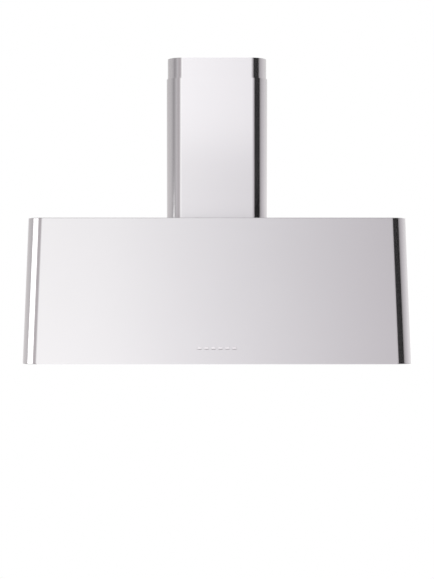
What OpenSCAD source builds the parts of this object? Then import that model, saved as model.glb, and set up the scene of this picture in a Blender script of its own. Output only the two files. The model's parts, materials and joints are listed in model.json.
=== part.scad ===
// Wall-mounted chimney range hood: a tapered canopy with rounded front corners, a two-part
// chimney, six push buttons, three baffle filters, two lamps and a double-inlet blower.
// X runs across the hood, +Y towards the wall and +Z up. The origin is on the wall plane,
// at mid width and level with the hood's lower edge. All sizes are in millimetres.

/* [Canopy] */
// Width of the canopy across its lower edge
hood_w = 1200; // [1150:10:1400]
// Depth of the canopy from the wall to the front of its lower edge
hood_d = 500; // [490:5:560]
// Height of the canopy
canopy_h = 448; // [440:1:500]
// How far the front leans back over the canopy's height
front_lean = 16.5; // [8:0.5:22]
// How far each side leans in over the canopy's height
side_lean = 16.5; // [8:0.5:30]
// Outer radius of the canopy's two front corners
canopy_r = 50; // [40:1:60]
// Thickness of the stainless sheet
sheet_t = 1; // [0.8:0.1:1.2]
// Width of the rim folded in round the lower edge
rim_w = 15; // [12:1:18]
// Height of the underside panel above the lower edge
recess_h = 24; // [22:1:28]

/* [Underside] */
// Width of the strip between the front rim and the filters
lamp_strip = 80; // [76:1:90]
// Width of the strip between the filters and the rear rim
rear_strip = 30; // [28:1:40]
// Width of the strip between the filters and each side rim
side_strip = 45; // [40:1:60]
// Distance between the two lamps
lamp_spacing = 660; // [560:10:740]
// Outer diameter of a lamp's ring
bezel_d = 68; // [64:1:72]
// Diameter of the glass that shows inside the ring
lens_d = 48; // [44:1:50]

/* [Filters] */
// Thickness of a filter
filter_h = 18; // [16:1:22]
// Width of the frame's lip over the ends of the baffles
lip_w = 12; // [10:1:15]
// Width of one baffle channel
baffle_w = 20; // [18:1:22]
// Distance from one baffle to the next in the same row
baffle_pitch = 30; // [28:1:34]
// Depth of the handle below the filter
handle_h = 14; // [12:1:18]
// Length of the handle
handle_w = 84; // [76:1:110]

/* [Buttons] */
// Width of a button
button_w = 12.6; // [11:0.2:14]
// Height of a button
button_h = 8.4; // [7:0.2:10]
// Distance from one button to the next
button_pitch = 21.3; // [20:0.1:24]
// Height of the row of buttons above the lower edge
button_z = 48.6; // [46:0.2:70]
// How far a button stands out of the front
button_proud = 2.6; // [2.4:0.1:3.5]
// How far a button travels when pressed
button_travel = 2; // [1:0.1:2.2]

/* [Chimney] */
// Width of the lower chimney
chimney_w = 325; // [305:1:350]
// Depth of the lower chimney from the wall
chimney_d = 285; // [275:1:320]
// Outer radius of the lower chimney's front corners
chimney_r = 50; // [35:1:60]
// Height of the lower chimney
lower_h = 457; // [450:1:560]
// Height of the upper chimney
upper_h = 455; // [420:1:455]
// How much of the upper chimney shows above the lower one
upper_show = 65; // [65:1:120]
// Gap between the lower and the upper chimney
chimney_gap = 2.2; // [1.8:0.1:3]
// Width of the flanges folded in along the chimney's rear edges
flange_w = 15; // [12:1:20]

/* [Blower] */
// Outer diameter of the fan wheel
wheel_d = 200; // [180:2:204]
// Length of the fan wheel along its axle
wheel_w = 160; // [150:2:164]
// Length of the scroll housing along the axle
housing_w = 190; // [186:1:230]
// Outer diameter of the duct spigot
duct_d = 150; // [140:1:150]
// Height of the duct spigot above the canopy
spigot_h = 52; // [46:1:60]
// Height of the fan's axle above the lower edge
fan_z = 235; // [225:1:245]
// Diameter of the motor's shell
motor_d = 96; // [90:1:104]
// Diameter of the motor's shaft
shaft_d = 8; // [7:0.5:10]

/* [Wall fixing] */
// Distance between the two wall hooks
hook_spacing = 860; // [840:10:920]
// Height of a wall hook's middle above the lower edge
hook_z = 365; // [345:1:370]
// Distance between a hook's two screw holes
hook_hole_spacing = 30; // [26:1:34]
// Diameter of the wall screws' holes
wall_hole_d = 6; // [5:0.5:7]
// Distance between the two holes for the safety screws
safety_spacing = 600; // [560:10:700]
// Height of the safety screws' holes
safety_z = 110; // [90:1:130]
// Diameter of the safety screws' holes
safety_hole_d = 8; // [6:0.5:10]
// Distance between the chimney bracket's two screw holes
bracket_hole_spacing = 200; // [160:5:220]

/* [Hidden] */

round_fn = 96;
small_fn = 48;
// Gap between sheets that are nested and welded
weld_gap = 0.1;
// Length by which a cutting body runs past what it cuts
past = 1;

lean_back = atan(front_lean / canopy_h);
lean_in = atan(side_lean / canopy_h);
panel_top = recess_h + sheet_t;
skirt_inset = rim_w - 2 * sheet_t;

// Filter opening in the underside panel
filter_count = 3;
filter_gap = 1;
open_front = -(hood_d - rim_w - lamp_strip);
open_rear = -(rim_w + rear_strip);
field_w = hood_w - 2 * (rim_w + side_strip);
filter_pitch = field_w / filter_count;
filter_w = filter_pitch - 2 * filter_gap;
filter_front = open_front + filter_gap;
filter_rear = open_rear - filter_gap;
filter_top = recess_h + filter_h;
frame_t = 0.8;
baffle_t = 0.6;
baffle_end_gap = 3;
tab_w = 40;
tab_l = 12;
tab_gap = 0.3;
tab_from_side = 60;
catch_w = 24;
catch_t = 0.6;
catch_slot_low = 5;
catch_slot_h = 8;

// Lamps
lamp_y = -(hood_d - rim_w - lamp_strip / 2);
bezel_h = 2.5;
sleeve_r = lens_d / 2 + 4.6;
sleeve_t = 1.4;
sleeve_h = 10;
lens_t = 2.5;
lens_lip_t = 1.2;
lamp_hole_r = sleeve_r + 0.4;
lamp_can_h = 36;
reflector_low = lens_lip_t - bezel_h + lens_t;
reflector_h = 15;
led_r = 10;
led_t = 1.6;

// Chimney
chimney_top = canopy_h + lower_h + upper_show;
upper_inset = sheet_t + chimney_gap;
foot_t = chimney_gap - 0.7;
foot_l = 60;
foot_w = 20;
foot_h = 25;
screw_r = 2;
screw_head_r = 3.8;
screw_head_t = 1.8;
chimney_screw_z = canopy_h + 14;
chimney_mid_y = -chimney_d / 2;
bracket_h = 30;
bracket_t = 2;
bracket_z = chimney_top - bracket_h;
bracket_reach = 34;
ear_l = 24;
upper_inner_x = chimney_w / 2 - upper_inset - sheet_t;

// Blower: the scroll's radius grows from the tongue round to the outlet's rear wall
duct_y = -chimney_d / 2;
duct_r = duct_d / 2;
duct_wall = 2;
scroll_wall = 1.5;
scroll_start_r = wheel_d / 2 + 10;
scroll_end_r = wheel_d / 2 + 65;
outlet_l = duct_d + 6;
fan_y = duct_y + outlet_l / 2 - scroll_end_r;
tongue_y = scroll_end_r - outlet_l;
scroll_top = canopy_h - sheet_t - fan_z;
plate_edge = 6;
inlet_r = wheel_d / 2 - 18;
half_housing = housing_w / 2;
ring_t = 2;
ring_w = 14;
arm_t = 3;
blade_count = 36;
blade_t = 1.2;
blade_inner_r = wheel_d / 2 - 20;
disc_x = 2;
disc_t = 1.5;
end_ring_w = 6;
end_ring_t = 3;
hub_r = 12;
shaft_r = shaft_d / 2;
shaft_end = 12;
shaft_fit = 0.02;
bearing_fit = 0.05;
bearing_r = shaft_r + 7;
bearing_w = 8;
motor_r = motor_d / 2;
motor_wall = 2.5;
motor_left = -half_housing - ring_t;
motor_right = -10;
stator_w = 43;
stator_x = (motor_left + motor_right) / 2 - stator_w / 2;
rotor_r = motor_r - 20;
air_gap = 0.5;

// Duct collar and its two flaps
collar_flange_r = duct_r + 17;
collar_flange_t = 2.5;
collar_drop = 7;
collar_hole_r = duct_r + 1;
collar_screw_r = duct_r + 10;
collar_screw_l = 8;
flap_z = canopy_h + 20;
flap_t = 1.2;
flap_r = duct_r - duct_wall - 2;
flap_seat_t = 4;
flap_start = 4.2;
knuckle_r = 3.6;
knuckle_l = 18;
pin_r = 2;
pin_fit = 0.06;

// Boxes on the inside of the back panel, at set distances from the canopy's sides
box_low = [170 - hood_w / 2, -46, 180];
box_high = [340 - hood_w / 2, -sheet_t, 290];
box_wall = 2;
transformer_low = [hood_w / 2 - 300, -36, 180];
transformer_high = [hood_w / 2 - 210, -sheet_t, 220];
capacitor_r = 17;
capacitor_l = 66;
capacitor_stud_r = 6;
capacitor_stud_l = 6;
capacitor_x = 160;
capacitor_y = -sheet_t - capacitor_r - weld_gap;
capacitor_z = 160;
gland_x = 115;
gland_y = -62;
gland_r = 8;
gland_nut_r = 12;
gland_thread_l = 12;

// Leads: their radii, the lanes they lie in and the depth at which they enter the boxes
lead_r = 2;
supply_r = 3.5;
lead_gap = 0.3;
lead_floor = panel_top + lead_r + lead_gap;
lead_ceiling = canopy_h - sheet_t - lead_r - lead_gap;
lead_back = -6;
lane_x = hood_w / 2 - rim_w - side_strip / 2;
plug_y = -24;

// Switch block behind the buttons, measured square to the front face
button_count = 6;
button_clear = 0.3;
flange_over = 1.5;
flange_t = 1.8;
flange_back = sheet_t + 0.4 + flange_t;
stem_w = 5;
stem_clear = 0.7;
stem_end = 24;
plate_front = flange_back + button_travel + 2.8;
plate_t = 1.5;
plate_back = plate_front + plate_t;
block_w = button_pitch * button_count + 8;
block_h = 28;
block_l = 25;
block_wall = 1.5;
board_t = 1.6;
board_z = block_l - 4;

// Wall hooks
hook_w = 70;
hook_h = 60;
hook_t = 3;
hook_shelf = 16;
hook_lip = 12;
window_w = 84;
window_h = 74;
window_flange = 11;
level_r = 3;
level_y = -8;

// A box given by its lowest and highest corners
module block(low, high) {
    translate(low) cube(high - low);
}

// A bar along X from x0 to x1 whose section is drawn in the Y-Z plane
module across(x0, x1) {
    translate([x0, 0, 0]) rotate([90, 0, 90]) linear_extrude(x1 - x0) children();
}

// The same children at both signs of x
module both_sides() {
    children();
    mirror([1, 0, 0]) children();
}

// Section of a front corner, square to the corner's own slanting edge
module corner_profile(inset) {
    reach = 2 * hood_w;
    union() {
        polygon([
            [-canopy_r, canopy_r], [-inset, canopy_r], [-inset, reach],
            [-reach, reach], [-reach, inset], [-canopy_r, inset]]);
        translate([-canopy_r, canopy_r]) circle(canopy_r - inset, $fn = round_fn);
    }
}

module leaning_side(inset) {
    spare = 60;
    translate([hood_w / 2, 0, 0]) rotate([0, -lean_in, 0])
    translate([0, 0, -spare]) linear_extrude(canopy_h + 2 * spare) corner_profile(inset);
}

// The canopy's outer shape, moved in by inset and cut to the given heights and depths
module canopy_block(inset, z0, z1, y0, y1) {
    intersection() {
        translate([0, -hood_d, 0]) rotate([-lean_back, 0, 0]) intersection() {
            leaning_side(inset);
            mirror([1, 0, 0]) leaning_side(inset);
        }
        block([-hood_w, y0, z0], [hood_w, y1, z1]);
    }
}

// Children are placed on the leaning front face: x across, y up the face, z outwards
module on_front(x, height) {
    translate([0, -hood_d, 0]) rotate([-lean_back, 0, 0])
    translate([x, 0, height / cos(lean_back)]) rotate([90, 0, 0]) children();
}

function button_x(i) = (i - (button_count + 1) / 2) * button_pitch;

module canopy_wrap() {
    color("silver") difference() {
        canopy_block(0, 0, canopy_h, -hood_d - past, 0);
        canopy_block(sheet_t, sheet_t, canopy_h + past, -hood_d, past);
        canopy_block(rim_w, -past, 2 * sheet_t, -hood_d, past);
        canopy_block(sheet_t, -past, 2 * sheet_t, -rim_w - weld_gap, past);
        for (i = [1:button_count]) on_front(button_x(i), button_z)
            cube([button_w + 2 * button_clear, button_h + 2 * button_clear, 4 * sheet_t], center = true);
    }
}

module top_panel() {
    inset = sheet_t + weld_gap;
    color("silver") difference() {
        canopy_block(inset, canopy_h - rim_w, canopy_h, -hood_d, 0);
        canopy_block(inset + sheet_t, canopy_h - rim_w - past, canopy_h - sheet_t, -hood_d, past);
        canopy_block(0, canopy_h - rim_w - past, canopy_h - sheet_t, -sheet_t, past);
        translate([0, duct_y, canopy_h - 2 * sheet_t])
            cylinder(r = collar_hole_r, h = 3 * sheet_t, $fn = round_fn);
        translate([gland_x, gland_y, canopy_h - 2 * sheet_t])
            cylinder(r = gland_r + weld_gap, h = 3 * sheet_t, $fn = small_fn);
        collar_screw_holes();
    }
}

module hook_window(side) {
    translate([side * hook_spacing / 2, 0, hook_z]) children();
}

module back_panel() {
    inset = sheet_t + weld_gap;
    flange_inset = inset + sheet_t + weld_gap;
    plate_top = canopy_h - sheet_t;
    color("silver") difference() {
        union() {
            canopy_block(inset, 0, plate_top, -sheet_t, 0);
            canopy_block(inset, 0, sheet_t, -rim_w, 0);
            canopy_block(flange_inset, plate_top - sheet_t, plate_top, -rim_w, 0);
            for (side = [-1, 1]) hook_window(side)
                block([-window_w / 2, -window_flange, window_h / 2],
                    [window_w / 2, 0, window_h / 2 + sheet_t]);
        }
        for (side = [-1, 1]) hook_window(side)
            block([-window_w / 2, -sheet_t - past, -window_h / 2],
                [window_w / 2, past, window_h / 2]);
        for (side = [-1, 1])
            translate([side * safety_spacing / 2, past, safety_z]) rotate([90, 0, 0])
            cylinder(r = safety_hole_d / 2, h = sheet_t + 2 * past, $fn = small_fn);
    }
}

module underside_panel() {
    color("gainsboro") difference() {
        canopy_block(skirt_inset, sheet_t, panel_top, -hood_d, -skirt_inset);
        canopy_block(skirt_inset + sheet_t, 0, recess_h, -hood_d, -skirt_inset - sheet_t);
        block([-field_w / 2, open_front, 0], [field_w / 2, open_rear, panel_top + past]);
        for (side = [-1, 1])
            translate([side * lamp_spacing / 2, lamp_y, recess_h - past])
            cylinder(r = lamp_hole_r, h = sheet_t + 2 * past, $fn = round_fn);
    }
}

module wall_hooks() {
    top = hook_h / 2;
    hole_x = 22;
    color("slategray") for (side = [-1, 1]) hook_window(side) difference() {
        union() {
            block([-hook_w / 2, -hook_t, -top], [hook_w / 2, 0, top]);
            block([-hook_w / 2, -hook_shelf, top - hook_t], [hook_w / 2, 0, top]);
            block([-hook_w / 2, -hook_shelf, top - hook_t],
                [hook_w / 2, hook_t - hook_shelf, top + hook_lip]);
        }
        for (row = [-1, 1])
            translate([side * hole_x, past, row * hook_hole_spacing / 2]) rotate([90, 0, 0])
            cylinder(r = wall_hole_d / 2, h = hook_t + 2 * past, $fn = small_fn);
        translate([0, level_y, top - hook_t - past])
            cylinder(r = level_r + bearing_fit, h = hook_t + 2 * past, $fn = small_fn);
    }
}

module levelling_screws() {
    head_r = 5;
    head_t = 4;
    shank_top = window_h / 2;
    shank_l = 20;
    color("gray") for (side = [-1, 1]) hook_window(side) translate([0, level_y, 0]) {
        translate([0, 0, shank_top - shank_l]) cylinder(r = level_r, h = shank_l, $fn = small_fn);
        translate([0, 0, shank_top - shank_l - head_t]) cylinder(r = head_r, h = head_t, $fn = 6);
    }
}

function scroll_r(a) = scroll_start_r + (scroll_end_r - scroll_start_r) * (a - 90) / 270;

// Outline of the scroll about the axle, grown outwards by grow, with its outlet cut at top
module scroll_outline(grow, top) {
    wall_y = tongue_y - grow;
    start_r = scroll_start_r + grow;
    translate([fan_y, fan_z]) polygon(concat(
        [[wall_y, top], [wall_y, sqrt(start_r * start_r - wall_y * wall_y)]],
        [for (a = [100:10:360]) (scroll_r(a) + grow) * [cos(a), sin(a)]],
        [[scroll_end_r + grow, top]]));
}

module on_axle() {
    translate([0, fan_y, fan_z]) rotate([0, 90, 0]) children();
}

// Curved wall of the blower between its two side plates, with the outlet at the top
module blower_scroll() {
    inner = half_housing - scroll_wall;
    color("dimgray") difference() {
        across(-inner, inner) scroll_outline(scroll_wall, scroll_top);
        across(-half_housing, half_housing) scroll_outline(0, scroll_top - scroll_wall);
        translate([0, duct_y, canopy_h - collar_drop])
            cylinder(r = collar_hole_r, h = 2 * collar_drop, $fn = round_fn);
        collar_screw_holes();
    }
}

// Side plate with the round inlet; its edge stands out past the curved wall
module blower_side() {
    color("dimgray") difference() {
        across(half_housing - scroll_wall, half_housing) scroll_outline(plate_edge, scroll_top);
        on_axle() cylinder(r = inlet_r, h = housing_w, $fn = round_fn);
    }
}

// The four screws that hold the duct collar, the top panel and the blower together
module at_collar_screws() {
    for (a = [45:90:315]) translate([0, duct_y, canopy_h + collar_flange_t])
        rotate([0, 0, a]) translate([collar_screw_r, 0, 0]) children();
}

module collar_screw_holes() {
    at_collar_screws() translate([0, 0, -collar_screw_l])
        cylinder(r = screw_r + weld_gap, h = 2 * collar_screw_l, $fn = small_fn);
}

module inlet_rings() {
    color("dimgray") both_sides() translate([half_housing, 0, 0]) on_axle() rotate_extrude($fn = round_fn)
        polygon([
            [inlet_r, -8], [inlet_r - 1.5, -8], [inlet_r - 1.5, -2], [inlet_r, ring_t - 1],
            [inlet_r + 1, ring_t], [inlet_r + ring_w, ring_t], [inlet_r + ring_w, 0], [inlet_r, 0]]);
}

module motor_bracket() {
    hub_hole = bearing_r + 4;
    hub_disc_r = 0.6 * motor_r;
    rim_inner_r = inlet_r + 4;
    arm_w = 18;
    color("gray") translate([motor_left, 0, 0]) mirror([1, 0, 0]) on_axle() difference() {
        union() {
            difference() {
                cylinder(r = inlet_r + ring_w, h = arm_t, $fn = round_fn);
                translate([0, 0, -past]) cylinder(r = rim_inner_r, h = arm_t + 2 * past, $fn = round_fn);
            }
            cylinder(r = hub_disc_r, h = arm_t, $fn = round_fn);
            for (a = [0:120:240]) rotate([0, 0, a])
                block([0, -arm_w / 2, 0], [rim_inner_r + past, arm_w / 2, arm_t]);
        }
        translate([0, 0, -past]) cylinder(r = hub_hole, h = arm_t + 2 * past, $fn = small_fn);
    }
}

// The motor is drawn as a section of radius against distance along the axle
module motor_section(x0, x1, r0, r1) {
    translate([r0, x0]) square([r1 - r0, x1 - x0]);
}

module on_motor() {
    on_axle() rotate_extrude($fn = round_fn) children();
}

module motor_shell() {
    boss_w = bearing_w + 1;
    boss_r = bearing_r + 5;
    color("gray") on_motor() {
        motor_section(motor_left, motor_right, motor_r - motor_wall, motor_r);
        motor_section(motor_left, motor_left + motor_wall, bearing_r + shaft_fit, motor_r);
        motor_section(motor_right - motor_wall, motor_right, bearing_r + shaft_fit, motor_r);
        motor_section(motor_left, motor_left + boss_w, bearing_r + shaft_fit, boss_r);
        motor_section(motor_right - boss_w, motor_right, bearing_r + shaft_fit, boss_r);
    }
}

module motor_stator() {
    color("peru") on_motor()
        motor_section(stator_x, stator_x + stator_w, rotor_r + air_gap, motor_r - motor_wall - shaft_fit);
}

module motor_rotor() {
    color("gray") on_motor()
        motor_section(stator_x, stator_x + stator_w, shaft_r + shaft_fit, rotor_r);
}

module motor_bearings() {
    color("lightgray") on_motor() {
        motor_section(motor_left, motor_left + bearing_w, shaft_r + bearing_fit, bearing_r);
        motor_section(motor_right - bearing_w, motor_right, shaft_r + bearing_fit, bearing_r);
    }
}

module motor_shaft() {
    shaft_start = motor_left - 4;
    color("lightgray") on_axle() translate([0, 0, shaft_start])
        cylinder(r = shaft_r, h = shaft_end - shaft_start, $fn = small_fn);
}

// One forward-curved blade of the fan wheel, in section
module blade_section() {
    mid_r = (blade_inner_r + wheel_d / 2) / 2;
    tip_r = wheel_d / 2 - 2;
    bend = [0, 3, 8];
    radii = [blade_inner_r, mid_r, tip_r];
    polygon(concat(
        [for (i = [0:2]) [radii[i], bend[i]]],
        [for (i = [2:-1:0]) [radii[i], bend[i] + blade_t]]));
}

module fan_wheel() {
    half = wheel_w / 2;
    hub_start = motor_right + 2;
    color("dimgray") on_axle() difference() {
        union() {
            for (i = [0:blade_count - 1]) rotate([0, 0, i * 360 / blade_count])
                translate([0, 0, -half]) linear_extrude(wheel_w) blade_section();
            for (z = [-half, half - end_ring_t]) translate([0, 0, z]) difference() {
                cylinder(r = wheel_d / 2, h = end_ring_t, $fn = round_fn);
                translate([0, 0, -past])
                    cylinder(r = wheel_d / 2 - end_ring_w, h = end_ring_t + 2 * past, $fn = round_fn);
            }
            translate([0, 0, disc_x]) cylinder(r = wheel_d / 2 - 1, h = disc_t, $fn = round_fn);
            translate([0, 0, hub_start]) cylinder(r = hub_r, h = shaft_end - hub_start, $fn = small_fn);
        }
        translate([0, 0, -half]) cylinder(r = shaft_r + shaft_fit, h = wheel_w, $fn = small_fn);
    }
}

module capacitor() {
    color("gainsboro") translate([-capacitor_x - capacitor_l, capacitor_y, capacitor_z])
        rotate([0, 90, 0]) {
            cylinder(r = capacitor_r, h = capacitor_l, $fn = small_fn);
            translate([0, 0, capacitor_l - past])
                cylinder(r = capacitor_stud_r, h = capacitor_stud_l + past, $fn = small_fn);
        }
}

module duct_collar() {
    bottom = canopy_h - collar_drop;
    drop_wall = duct_wall - 0.5;
    seat_w = 4;
    seat_top = flap_z - flap_t / 2 - tab_gap;
    color("dimgray") translate([0, duct_y, 0]) difference() {
        rotate_extrude($fn = round_fn) {
            translate([duct_r - duct_wall, bottom]) square([drop_wall, collar_drop + past]);
            translate([duct_r - duct_wall, canopy_h]) square([duct_wall, spigot_h]);
            translate([duct_r - duct_wall, canopy_h])
                square([collar_flange_r - duct_r + duct_wall, collar_flange_t]);
            translate([duct_r - duct_wall - seat_w, seat_top - flap_seat_t])
                square([seat_w + duct_wall / 2, flap_seat_t]);
        }
        translate([-duct_r - past, 0, flap_z]) rotate([0, 90, 0])
            cylinder(r = pin_r + pin_fit, h = duct_d + 2 * past, $fn = small_fn);
        translate([0, -duct_y, 0]) collar_screw_holes();
    }
}

module damper_pin() {
    reach = duct_r - 0.6;
    color("lightgray") translate([-reach, duct_y, flap_z]) rotate([0, 90, 0])
        cylinder(r = pin_r, h = 2 * reach, $fn = small_fn);
}

// Half-moon flap on the side of the pin that side names, with two knuckles
module damper_flap(side) {
    knuckles = side < 0 ? [-58, 22] : [-38, 42];
    root_w = 6;
    color("gray") translate([0, duct_y, flap_z]) difference() {
        union() {
            translate([0, 0, -flap_t / 2]) linear_extrude(flap_t) intersection() {
                circle(flap_r, $fn = round_fn);
                translate([-flap_r, side < 0 ? -flap_r : flap_start])
                    square([2 * flap_r, flap_r - flap_start]);
            }
            for (x = knuckles) {
                translate([x, 0, 0]) rotate([0, 90, 0])
                    cylinder(r = knuckle_r, h = knuckle_l, $fn = small_fn);
                block([x, min(0, side * root_w), -flap_t / 2],
                    [x + knuckle_l, max(0, side * root_w), flap_t / 2]);
            }
        }
        translate([-duct_r, 0, 0]) rotate([0, 90, 0])
            cylinder(r = pin_r + pin_fit, h = duct_d, $fn = small_fn);
    }
}

module control_box() {
    hollow = [box_wall, box_wall, box_wall];
    color("dimgray") difference() {
        block(box_low, box_high);
        block([box_low[0] + box_wall, box_low[1] - past, box_low[2] + box_wall], box_high - hollow);
    }
}

module control_box_lid() {
    color("gray") block([box_low[0], box_low[1] - box_wall, box_low[2]],
        [box_high[0], box_low[1], box_high[2]]);
}

// Strip of screw sockets on the control box's rear wall
module terminal_block() {
    pole_count = 6;
    pole_pitch = 10;
    strip_h = 20;
    strip_d = 16;
    socket_r = 2.2;
    row_z = 5;
    middle = (box_low + box_high) / 2;
    rear = -sheet_t - box_wall;
    color("ivory") translate([middle.x, rear, middle.z]) difference() {
        block([-pole_count * pole_pitch / 2, -strip_d, -strip_h / 2],
            [pole_count * pole_pitch / 2, 0, strip_h / 2]);
        for (k = [1:pole_count], z = [-row_z, row_z])
            translate([(k - (pole_count + 1) / 2) * pole_pitch, -strip_d - past, z]) rotate([-90, 0, 0])
            cylinder(r = socket_r, h = strip_d / 2, $fn = small_fn);
    }
}

module lamp_transformer() {
    ear = 12;
    ear_t = 3;
    color("ivory") {
        block(transformer_low, transformer_high);
        block([transformer_low[0] - ear, -sheet_t - ear_t, transformer_low[2]],
            [transformer_high[0] + ear, -sheet_t, transformer_high[2]]);
    }
}

// Inlet for the mains lead, closed by its own membrane
module cable_gland() {
    nut_t = 5;
    dome_r = gland_r + 2;
    dome_h = 14;
    entry_r = gland_r - 3;
    entry_l = 6;
    color("dimgray") translate([gland_x, gland_y, canopy_h]) difference() {
        union() {
            translate([0, 0, -gland_thread_l])
                cylinder(r = gland_r, h = gland_thread_l + nut_t, $fn = small_fn);
            cylinder(r = gland_nut_r, h = nut_t, $fn = 6);
            cylinder(r = dome_r, h = dome_h, $fn = small_fn);
            translate([0, 0, -sheet_t - nut_t]) cylinder(r = gland_nut_r, h = nut_t, $fn = 6);
        }
        translate([0, 0, dome_h - entry_l]) cylinder(r = entry_r, h = entry_l + past, $fn = small_fn);
    }
}

module stem_holes(z0, z1) {
    hole = stem_w + 2 * stem_clear;
    for (i = [1:button_count]) translate([button_x(i), 0, 0])
        block([-hole / 2, -hole / 2, z0], [hole / 2, hole / 2, z1]);
}

module switch_bracket() {
    foot = 5;
    foot_gap = 2;
    half_w = block_w / 2 + foot + foot_gap;
    color("gray") on_front(0, button_z) difference() {
        union() {
            block([-half_w, -block_h / 2, -plate_back], [half_w, block_h / 2, -plate_front]);
            both_sides() block([half_w - foot, -block_h / 2, -plate_back], [half_w, block_h / 2, -sheet_t]);
        }
        stem_holes(-plate_back - past, past - plate_front);
    }
}

module switch_housing() {
    back = -plate_back - block_l;
    color("dimgray") on_front(0, button_z) difference() {
        block([-block_w / 2, -block_h / 2, back], [block_w / 2, block_h / 2, -plate_back]);
        block([block_wall - block_w / 2, block_wall - block_h / 2, back + block_wall],
            [block_w / 2 - block_wall, block_h / 2 - block_wall, -plate_back - block_wall]);
        stem_holes(-plate_back - block_wall - past, past - plate_back);
    }
}

module switch_board() {
    back = -plate_back - board_z;
    key = 4;
    color("darkgreen") on_front(0, button_z) union() {
        block([block_wall - block_w / 2, block_wall - block_h / 2, back - board_t],
            [block_w / 2 - block_wall, block_h / 2 - block_wall, back]);
        for (i = [1:button_count]) translate([button_x(i), 0, 0])
            block([-key, -key, back - board_t / 2], [key, key, -stem_end - button_travel - tab_gap]);
    }
}

module button_springs() {
    spring_r = stem_w / 2 * sqrt(2) + 0.2;
    color("gray") for (i = [1:button_count]) on_front(button_x(i), button_z)
        translate([0, 0, -plate_front]) difference() {
            cylinder(r = spring_r + 0.7, h = plate_front - flange_back, $fn = small_fn);
            translate([0, 0, -past])
                cylinder(r = spring_r, h = plate_front - flange_back + 2 * past, $fn = small_fn);
        }
}

// A button: a bevelled cap, a flange that keeps it in its hole, and a stem
module button(i) {
    bevel = 0.6;
    w = button_w / 2;
    h = button_h / 2;
    low = -flange_back;
    color("whitesmoke") on_front(button_x(i), button_z) union() {
        intersection() {
            rotate([90, 0, 0]) linear_extrude(button_h, center = true) polygon([
                [-w, low], [w, low], [w, button_proud - bevel], [w - bevel, button_proud],
                [bevel - w, button_proud], [-w, button_proud - bevel]]);
            rotate([90, 0, 90]) linear_extrude(button_w, center = true) polygon([
                [-h, low], [h, low], [h, button_proud - bevel], [h - bevel, button_proud],
                [bevel - h, button_proud], [-h, button_proud - bevel]]);
        }
        block([-w - flange_over, -h - flange_over, low], [w + flange_over, h + flange_over, low + flange_t]);
        block([-stem_w / 2, -stem_w / 2, -stem_end], [stem_w / 2, stem_w / 2, low + past]);
    }
}

module at_lamps() {
    for (side = [-1, 1]) translate([side * lamp_spacing / 2, lamp_y, recess_h]) children();
}

module lamp_bezels() {
    r = bezel_d / 2;
    edge = 1.2;
    color("lightgray") at_lamps() rotate_extrude($fn = round_fn) polygon([
        [lens_d / 2, -bezel_h], [r - edge, -bezel_h], [r, edge - bezel_h], [r, 0],
        [sleeve_r, 0], [sleeve_r, sleeve_h], [sleeve_r - sleeve_t, sleeve_h],
        [sleeve_r - sleeve_t, lens_lip_t - bezel_h], [lens_d / 2, lens_lip_t - bezel_h]]);
}

module lamp_lenses() {
    color("white") at_lamps() translate([0, 0, lens_lip_t - bezel_h])
        cylinder(r = sleeve_r - sleeve_t - weld_gap, h = lens_t, $fn = round_fn);
}

module lamp_housings() {
    low = reflector_low;
    r = sleeve_r - sleeve_t - weld_gap;
    can_r = r - 7;
    fin_count = 4;
    fin_pitch = 5;
    fin_t = 2;
    fin_start = sleeve_h + 4;
    rim = 2;
    color("gray") at_lamps() difference() {
        union() {
            translate([0, 0, low]) cylinder(r = r, h = sleeve_h, $fn = round_fn);
            translate([0, 0, low]) cylinder(r = can_r, h = lamp_can_h - low, $fn = round_fn);
            for (k = [0:fin_count - 1]) translate([0, 0, fin_start + k * fin_pitch])
                cylinder(r = r, h = fin_t, $fn = round_fn);
        }
        rotate_extrude($fn = round_fn) polygon([
            [0, low - past], [r - rim, low - past], [r - rim, low],
            [led_r + 3, low + reflector_h], [0, low + reflector_h]]);
    }
}

// The light source on the floor of each reflector
module lamp_leds() {
    color("lightyellow") at_lamps() translate([0, 0, reflector_low + reflector_h - led_t])
        cylinder(r = led_r, h = led_t, $fn = small_fn);
}

// Spring clips that press each lamp's sleeve against the underside panel
module lamp_clips() {
    r = sleeve_r;
    color("lightgray") at_lamps() both_sides() rotate([90, 0, 0]) linear_extrude(8, center = true)
        polygon([
            [r, sleeve_h], [r, sleeve_h - 4], [r + 0.8, sleeve_h - 4], [r + 0.8, sleeve_h - 1.4],
            [r + 9, sheet_t], [r + 13, sheet_t], [r + 13, sheet_t + 0.7], [r + 9.6, sheet_t + 0.7],
            [r + 1.4, sleeve_h]]);
}

function filter_x(i) = (i - (filter_count - 1) / 2) * filter_pitch;

// Frame of a filter: a channel all round, with two rear tabs that rest on the panel
module filter_frame(i) {
    half = filter_w / 2;
    low = recess_h;
    inner = frame_t;
    color("silver") translate([filter_x(i), 0, 0]) union() {
        difference() {
            block([-half, filter_front, low], [half, filter_rear, filter_top]);
            block([inner - half, filter_front + inner, low + inner],
                [half - inner, filter_rear - inner, filter_top - inner]);
            block([lip_w - half, filter_front + lip_w, low - past],
                [half - lip_w, filter_rear - lip_w, filter_top + past]);
            block([-catch_w / 2 - past, filter_front - past, low + catch_slot_low],
                [catch_w / 2 + past, filter_front + inner + past, low + catch_slot_low + catch_slot_h]);
        }
        both_sides() block(
            [half - tab_from_side - tab_w, filter_rear - inner, panel_top + tab_gap],
            [half - tab_from_side, filter_rear + tab_l, panel_top + tab_gap + sheet_t]);
    }
}

// Channel section with its open side up
module baffle_section(h) {
    half = baffle_w / 2;
    polygon([
        [-half, h], [-half, 0], [half, 0], [half, h], [half - baffle_t, h],
        [half - baffle_t, baffle_t], [baffle_t - half, baffle_t], [baffle_t - half, h]]);
}

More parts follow.
